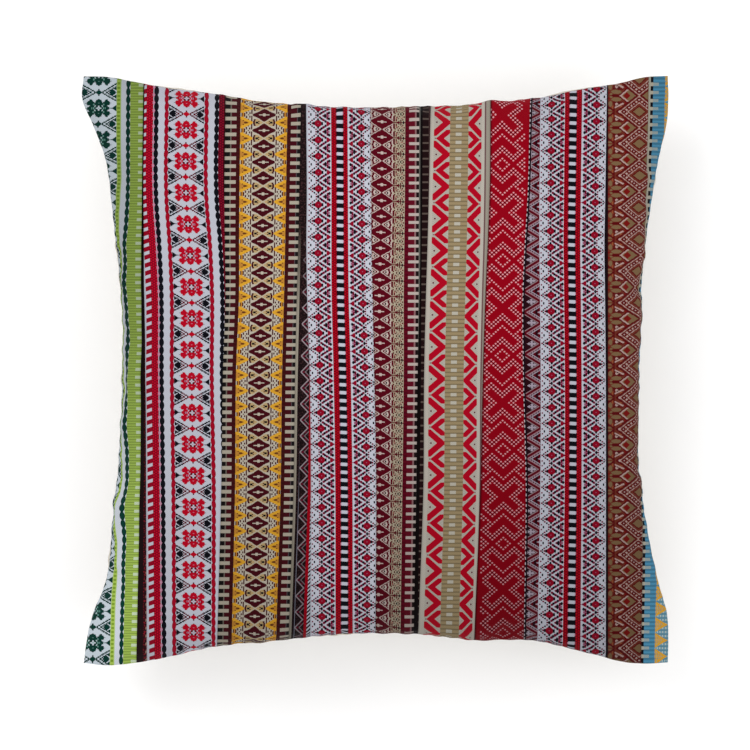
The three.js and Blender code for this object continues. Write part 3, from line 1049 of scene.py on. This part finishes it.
def blue_sash(u, v):
    sand = yarn(186, 180, 164)
    dash = bars((v - 80.5) / 8.05, 0.58, BLACK, sand)
    ribs = ribbed(v, 4.02, yarn(84, 154, 190), 0.4)
    cream = bars((v - 84.5) / 8.05, 0.36, yarn(158, 172, 172), ribs)
    point = folded((v - 624.7) / 15.6, 0.5) * 15.6
    sea = ribbed(v, 4.02, yarn(110, 166, 190), 0.3)
    inside = 11.6 - (u - 13.5 + point * 1.5)
    mesh_ = bars_mask(u / 2.2 + v / 4.0, 0.5) * bars_mask(u / 2.2 - v / 4.0, 0.5)
    sea = mixed(sea, yarn(196, 204, 196), bars_mask(u / 2.4 + 0.3, 0.45) * bars_mask(v / 4.0, 0.5))
    gold = mixed(YELLOW, sea, mesh_ * over(inside, 3.0))
    zig = mixed(sea, gold, over(inside, 0.0))
    return lanes(u, sand, (0.0, dash), (2.6, mixed(ribs, cream, under(u, 8.0))), (13.7, zig))


def back_cloth(u, v):
    a = wave(u / 1.1) * wave(v / 1.1)
    fleck = speckle(0.5, u, v * 0.3)
    return tinted(yarn(222, 215, 202), 0.95 + a * 0.03 + fleck * 0.06)


DRAWN = {"green": green_sash, "shade": shade_strip, "stars": star_sash, "yellow": yellow_sash,
         "tucked": tucked_sash, "dashes": dash_sash, "claret": claret_sash, "hollow": hollow_strip,
         "leaves": leaf_sash, "dotted": dotted_sash, "double": double_sash, "russet": russet_sash,
         "blue": blue_sash}


# How bright each sash is, near the top and near the bottom of the cushion: its
# dye, together with the photo's own broad light and shade on it.
DYE_AND_SHADE = {"green": (0.68, 1.16), "shade": (0.20, 1.60), "stars": (0.80, 0.72), "yellow": (0.86, 0.61),
         "tucked": (1.15, 0.54), "dashes": (0.90, 0.71), "claret": (0.84, 0.50), "hollow": (1.05, 0.90),
         "leaves": (0.77, 0.54), "dotted": (0.76, 0.35), "double": (0.82, 0.57), "russet": (0.93, 0.58),
         "blue": (0.76, 0.78)}


def painted_shading(u, v, name):
    """Painted shading along one sash: its dye together with the broad light and shade on it, and a painted shadow
    along its overlapped edges.
    """
    top, low = DYE_AND_SHADE.get(name.replace("_sash", ""), (1.0, 1.0))
    # painted light and shade: lighter or darker from top to bottom, together with the dye
    fall = soft(v, 230.0, 680.0) * (low - top) + top
    # a painted shadow along the sash's edges
    left, right = Num.rims
    return fall * (0.74 + soft(left, -0.3, 2.2) * 0.26) * (0.78 + soft(right, -0.3, 2.0) * 0.22)


def cloth_material(name, draw, stitch_u=1.1, stitch_v=0.9, depth=0.00012):
    mat = bpy.data.materials.new(name)
    mat.use_nodes = True
    Num.tree = mat.node_tree
    bsdf = mat.node_tree.nodes["Principled BSDF"]
    bsdf.inputs["Roughness"].default_value = 0.88
    bsdf.inputs["Specular IOR Level"].default_value = 0.03
    uv = mat.node_tree.nodes.new("ShaderNodeUVMap")
    uv.uv_map = "sash"
    apart = mat.node_tree.nodes.new("ShaderNodeSeparateXYZ")
    mat.node_tree.links.new(uv.outputs[0], apart.inputs[0])
    u, v = Num(apart.outputs[0]), Num(apart.outputs[1])
    rims = mat.node_tree.nodes.new("ShaderNodeUVMap")
    rims.uv_map = "rims"
    sides = mat.node_tree.nodes.new("ShaderNodeSeparateXYZ")
    mat.node_tree.links.new(rims.outputs[0], sides.inputs[0])
    Num.rims = Num(sides.outputs[0]), Num(sides.outputs[1])
    colour = draw(u, v)
    fuzz = speckle(1.3, u, v, 3.0)
    twill = wave((u * 0.8 + v) / 1.95) * 0.045 + wave((u * 0.8 - v) / 1.6) * 0.03
    # the yarn's random tone and twill lines, times the painted shading
    shade = (0.88 + fuzz * 0.24 + twill) * painted_shading(u, v, name)
    colour = tinted(colour, shade)
    plug(bsdf.inputs["Base Color"], colour)
    thread = wave(u / (2 * stitch_u)) * wave(v / (2 * stitch_v))
    height = thread * 0.5 + fuzz * 0.5
    bump = mat.node_tree.nodes.new("ShaderNodeBump")
    bump.inputs["Strength"].default_value = 0.6
    bump.inputs["Distance"].default_value = depth
    plug(bump.inputs["Height"], height)
    mat.node_tree.links.new(bump.outputs[0], bsdf.inputs["Normal"])
    return mat


# ======================================================================
# The mesh: both panels, cut along the sashes' edges
# ======================================================================
def to_photo(x, y, z):
    """Pattern places in photo pixels: u to the right, v downwards.

    The photo shows the crown a little larger than the seam, being nearer.
    """
    nearer = DIST / (DIST - (z - REST_DEPTH))
    return (375 + (x - CAMERA_XY[0]) * nearer / PX, 375 - (y - CAMERA_XY[1]) * nearer / PX)


def cover_mesh(s, face, back, plain, places):
    n = len(s)
    f_id, b_id, rim = panels_indices(n)
    count = int(b_id.max()) + 1
    points = np.zeros((count, 3))
    points[b_id.ravel()] = back.reshape(-1, 3)
    points[f_id.ravel()] = face.reshape(-1, 3)
    fu, fv = to_photo(places[..., 0], places[..., 1], plain[..., 2])
    # the back's own places: even across, from rim to rim
    a, b = s[None, :], s[:, None]
    bu = fu[:, :1] * (1 - a) + fu[:, -1:] * a
    bv = fv[:1] * (1 - b) + fv[-1:] * b
    flat = np.zeros((count, 2))
    flat[b_id.ravel()] = np.stack([bu, bv], -1).reshape(-1, 2)
    flat[f_id.ravel()] = np.stack([fu, fv], -1).reshape(-1, 2)
    top, low = quads(f_id, b_id)

    bm = bmesh.new()
    where = bm.verts.layers.float_vector.new("where")
    verts = []
    for p, (u, v) in zip(points.tolist(), flat.tolist()):
        vert = bm.verts.new((u, v, 0.0))
        vert[where] = p
        verts.append(vert)
    under_side = bm.faces.layers.int.new("under_side")
    for rows, mark in ((top, 0), (low, 1)):
        for q in rows.tolist():
            bm.faces.new([verts[i] for i in q])[under_side] = mark
    # cut along each sash's edge, with u measured from that edge
    for k in range(len(EDGES)):
        places = np.array([vert.co[:2] for vert in bm.verts])
        for vert, x in zip(bm.verts, (places[:, 0] - edge_at(k, places[:, 1])).tolist()):
            vert.co.x = x
        bmesh.ops.bisect_plane(bm, geom=bm.verts[:] + bm.edges[:] + bm.faces[:], dist=1e-3,
                               plane_co=(0, 0, 0), plane_no=(1, 0, 0))
        places = np.array([vert.co[:2] for vert in bm.verts])
        for vert, x in zip(bm.verts, (places[:, 0] + edge_at(k, places[:, 1])).tolist()):
            vert.co.x = x
    bm.verts.index_update()
    flat = np.array([v.co[:2] for v in bm.verts])
    centres = np.array([f.calc_center_median()[:2] for f in bm.faces])
    lower = np.array([f[under_side] for f in bm.faces], bool)
    for vert in bm.verts:
        vert.co = vert[where]
    bm.verts.layers.float_vector.remove(bm.verts.layers.float_vector["where"])
    bm.faces.layers.int.remove(bm.faces.layers.int["under_side"])
    mesh = bpy.data.meshes.new("cushion_cover")
    bm.to_mesh(mesh)
    bm.free()
    return mesh, flat, centres, lower


s, face, back, plain = cushion_shape()
mesh, flat, centres, lower = cover_mesh(s, face, back, plain, pattern_places(plain))
cover = bpy.data.objects.new("cushion_cover", mesh)
bpy.context.scene.collection.objects.link(cover)

# each face goes to the sash that its middle lies in
rights = np.array([edge_at(k, centres[:, 1]) for k in range(len(EDGES))])
belongs = (centres[:, 0][None] > rights).sum(0)
belongs[lower] = len(SASHES)
for name, *_ in SASHES:
    mesh.materials.append(cloth_material(name + "_sash", DRAWN[name]))
mesh.materials.append(cloth_material("back_cloth", back_cloth))
mesh.polygons.foreach_set("material_index", belongs.astype(np.int32))
mesh.polygons.foreach_set("use_smooth", np.ones(len(mesh.polygons), bool))

# places for the pattern: u from each sash's middle line, v down the photo
loops = np.empty(len(mesh.loops), np.int32)
mesh.loops.foreach_get("vertex_index", loops)
sizes = np.empty(len(mesh.polygons), np.int32)
mesh.polygons.foreach_get("loop_total", sizes)
sash_of = np.repeat(belongs, sizes)
at = flat[loops]
sash_uv, rims_uv = at.copy(), np.full(at.shape, 20.0)
for k, (_, middle, width) in enumerate(SASHES):
    mine = sash_of == k
    x, y = at[mine].T
    sash_uv[mine, 0] = (x - at_level(middle, y)) / at_level(width, y)
    if k > 0:
        rims_uv[mine, 0] = x - edge_at(k - 1, y)
    if k < len(EDGES):
        rims_uv[mine, 1] = edge_at(k, y) - x
mesh.uv_layers.new(name="sash").data.foreach_set("uv", sash_uv.astype(np.float32).ravel())
mesh.uv_layers.new(name="rims").data.foreach_set("uv", rims_uv.astype(np.float32).ravel())
# one sheet for both panels: the face above, the plain back in a strip below
low_u, high_u = flat[:, 0].min(), flat[:, 0].max()
low_v, high_v = flat[:, 1].min(), flat[:, 1].max()
sheet = np.stack([(at[:, 0] - low_u) / (high_u - low_u), (high_v - at[:, 1]) / (high_v - low_v)], -1)
is_back = sash_of == len(SASHES)
sheet[:, 1] = np.where(is_back, 0.002 + sheet[:, 1] * 0.19, 0.2 + sheet[:, 1] * 0.798)
mesh.uv_layers.new(name="OFBake").data.foreach_set("uv", sheet.astype(np.float32).ravel())
mesh.update()

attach(cover, "root")
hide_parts("cushion")

# ======================================================================
# Floor, light and camera
# ======================================================================
scene = bpy.context.scene
scene.view_settings.view_transform = "Standard"
scene.view_settings.look = "None"

floor_mesh = bpy.data.meshes.new("floor")
floor_mesh.from_pydata([(-3, -3, 0), (3, -3, 0), (3, 3, 0), (-3, 3, 0)], [], [(0, 1, 2, 3)])
floor = bpy.data.objects.new("floor", floor_mesh)
scene.collection.objects.link(floor)
fmat = bpy.data.materials.new("floor")
fmat.use_nodes = True
fmat.node_tree.nodes["Principled BSDF"].inputs["Base Color"].default_value = (0.96, 0.96, 0.965, 1)
fmat.node_tree.nodes["Principled BSDF"].inputs["Roughness"].default_value = 0.9
floor_mesh.materials.append(fmat)

world = bpy.data.worlds.new("studio")
scene.world = world
world.use_nodes = True
world.node_tree.nodes["Background"].inputs["Color"].default_value = (1, 1, 1, 1)
world.node_tree.nodes["Background"].inputs["Strength"].default_value = 0.92


def soft_lamp(name, place, size, watts, aim=(0, 0, 0.05)):
    data = bpy.data.lights.new(name, "AREA")
    data.shape = "SQUARE"
    data.size = size
    data.energy = watts
    ob = bpy.data.objects.new(name, data)
    ob.location = place
    d = np.array(aim) - np.array(place)
    ob.rotation_euler = mathutils.Vector(d).to_track_quat("-Z", "Y").to_euler()
    scene.collection.objects.link(ob)
    return ob


soft_lamp("key", (-0.9, 0.9, 1.7), 1.2, 14)
soft_lamp("fill", (1.1, -0.6, 1.5), 1.4, 8)

cam_data = bpy.data.cameras.new("camera")
cam_data.type = "PERSP"
cam_data.sensor_width = 36
cam_data.sensor_fit = "HORIZONTAL"
cam_data.lens = 36 * DIST / (750 * PX)
cam_data.clip_end = 50
cam = bpy.data.objects.new("camera", cam_data)
cam.location = (*CAMERA_XY, REST_DEPTH + DIST)
scene.collection.objects.link(cam)
scene.camera = cam
